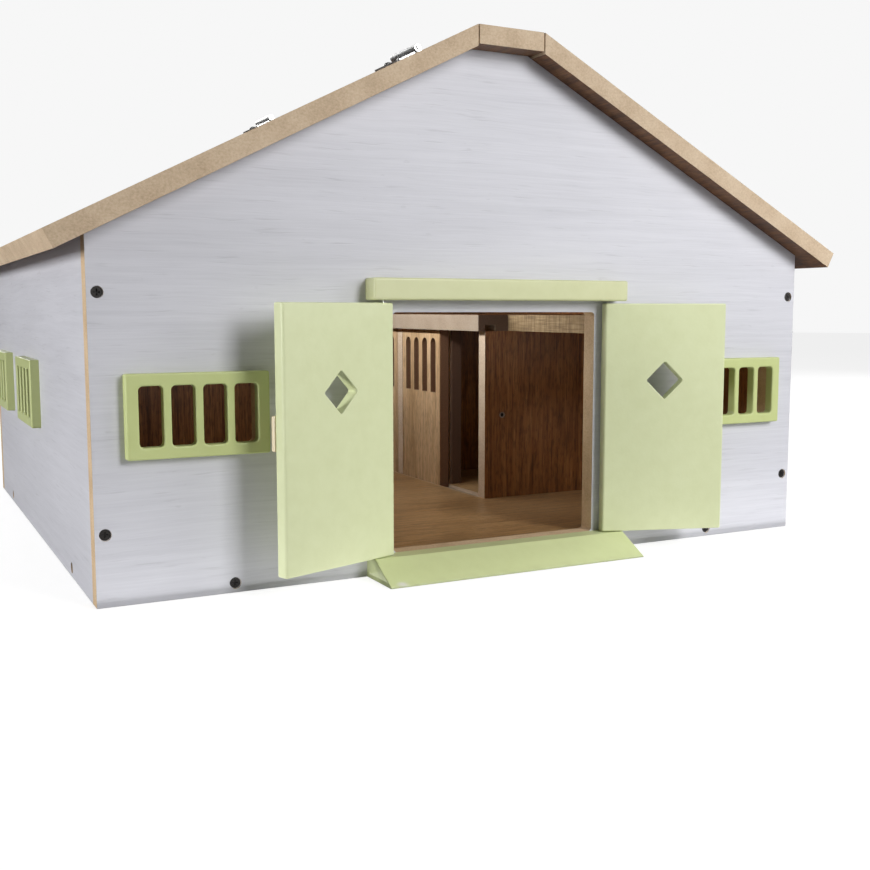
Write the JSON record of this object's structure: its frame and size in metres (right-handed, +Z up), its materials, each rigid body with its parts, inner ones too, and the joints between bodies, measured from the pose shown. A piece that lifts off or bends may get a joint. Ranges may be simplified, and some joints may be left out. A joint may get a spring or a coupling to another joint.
{
  "type": "toy barn",
  "caption": "Toy horse barn with opening double front doors on pin hinges, barred windows, inner stalls with sliding slotted doors and a hinged flap roof.",
  "frame": {"origin": "centre of the footprint of the walls, on the plane the barn stands on", "axes": "+Z up, -Y out of the gable front with the double door, +X to the right seen from the front"},
  "size_m": [0.4362, 0.4106, 0.2669],
  "materials": {
    "white_wood_print": "fibreboard faced with satin white-washed horizontal wood-grain foil outside and a brown wood-grain foil inside, cut edges raw tan fibreboard",
    "brown_wood_print": "fibreboard faced with satin brown wood-grain foil, cut edges raw tan fibreboard",
    "green_paint": "smooth satin pale pistachio green lacquer on fibreboard, slightly worn on the edges",
    "cream_wood": "smooth unpainted pale wood, sanded edges",
    "roof_wood_print": "fibreboard faced with satin brown wood-grain foil, cut edges raw tan fibreboard",
    "bright_steel": "plain zinc-plated steel, satin",
    "dark_steel": "blackened cross-recess screw heads"
  },
  "bodies": {
    "barn": {"front_wall": "white_wood_print", "back_wall": "white_wood_print", "left_wall": "white_wood_print", "right_wall": "white_wood_print", "floor_board": "brown_wood_print", "left_top_board": "brown_wood_print", "right_top_board": "brown_wood_print", "storage_partition": "brown_wood_print", "right_stall_partition": "brown_wood_print", "left_front_stall_partition": "brown_wood_print", "left_rear_stall_partition": "brown_wood_print", "stall_door_post": "brown_wood_print", "partition_screw": "dark_steel", "right_front_stall_panel": "brown_wood_print", "right_rear_stall_panel": "brown_wood_print", "left_front_stall_panel": "brown_wood_print", "left_middle_stall_panel": "brown_wood_print", "left_rear_stall_panel": "brown_wood_print", "front_left_window_grille": "green_paint", "front_right_window_grille": "green_paint", "left_wall_front_grille": "green_paint", "left_wall_rear_grille": "green_paint", "right_wall_front_grille": "green_paint", "right_wall_rear_grille": "green_paint", "lintel": "green_paint", "ramp": "green_paint", "ridge_board": "roof_wood_print", "left_hinge_fixed_leaves": "bright_steel", "right_hinge_fixed_leaves": "bright_steel", "left_hinge_pins": "bright_steel", "right_hinge_pins": "bright_steel", "ridge_hinge_screws": "bright_steel", "wall_screws": "dark_steel", "top_board_screws": "dark_steel", "ridge_screws": "dark_steel"},
    "left_door": {"left_door_panel": "green_paint", "left_door_handle": "cream_wood", "left_door_pins": "bright_steel"},
    "right_door": {"right_door_panel": "green_paint", "right_door_handle": "cream_wood", "right_door_pins": "bright_steel"},
    "left_roof": {"left_roof_panel": "roof_wood_print", "left_hinge_moving_leaves": "bright_steel", "left_roof_hinge_screws": "bright_steel"},
    "right_roof": {"right_roof_panel": "roof_wood_print", "right_hinge_moving_leaves": "bright_steel", "right_roof_hinge_screws": "bright_steel"},
    "right_front_sliding_door": {"right_front_stall_door": "brown_wood_print"},
    "right_rear_sliding_door": {"right_rear_stall_door": "brown_wood_print"},
    "left_front_sliding_door": {"left_front_stall_door": "brown_wood_print"},
    "left_middle_sliding_door": {"left_middle_stall_door": "brown_wood_print"},
    "left_rear_sliding_door": {"left_rear_stall_door": "brown_wood_print"}
  },
  "joints": [
    {"name": "left_door_hinge", "type": "hinge", "parent": "barn", "child": "left_door", "pos_m": [-0.0647, -0.1893, 0.07], "axis": [0, 0, -1], "range_deg": [-160.3, 9.7]},
    {"name": "right_door_hinge", "type": "hinge", "parent": "barn", "child": "right_door", "pos_m": [0.0647, -0.1893, 0.07], "axis": [0, 0, 1], "range_deg": [-161.6, 8.4]},
    {"name": "left_roof_hinge", "type": "hinge", "parent": "barn", "child": "left_roof", "pos_m": [-0.01911, 0, 0.26485], "axis": [0, 1, 0], "range_deg": [0, 121]},
    {"name": "right_roof_hinge", "type": "hinge", "parent": "barn", "child": "right_roof", "pos_m": [0.01911, 0, 0.26485], "axis": [0, -1, 0], "range_deg": [0, 121]},
    {"name": "right_front_stall_slide", "type": "slide", "parent": "barn", "child": "right_front_sliding_door", "axis": [0, 1, 0], "range_m": [-0.0536, 0]},
    {"name": "right_rear_stall_slide", "type": "slide", "parent": "barn", "child": "right_rear_sliding_door", "axis": [0, 1, 0], "range_m": [0, 0.052]},
    {"name": "left_front_stall_slide", "type": "slide", "parent": "barn", "child": "left_front_sliding_door", "axis": [0, 1, 0], "range_m": [0, 0.0528]},
    {"name": "left_middle_stall_slide", "type": "slide", "parent": "barn", "child": "left_middle_sliding_door", "axis": [0, 1, 0], "range_m": [0, 0.0536]},
    {"name": "left_rear_stall_slide", "type": "slide", "parent": "barn", "child": "left_rear_sliding_door", "axis": [0, 1, 0], "range_m": [0, 0.052]}
  ]
}
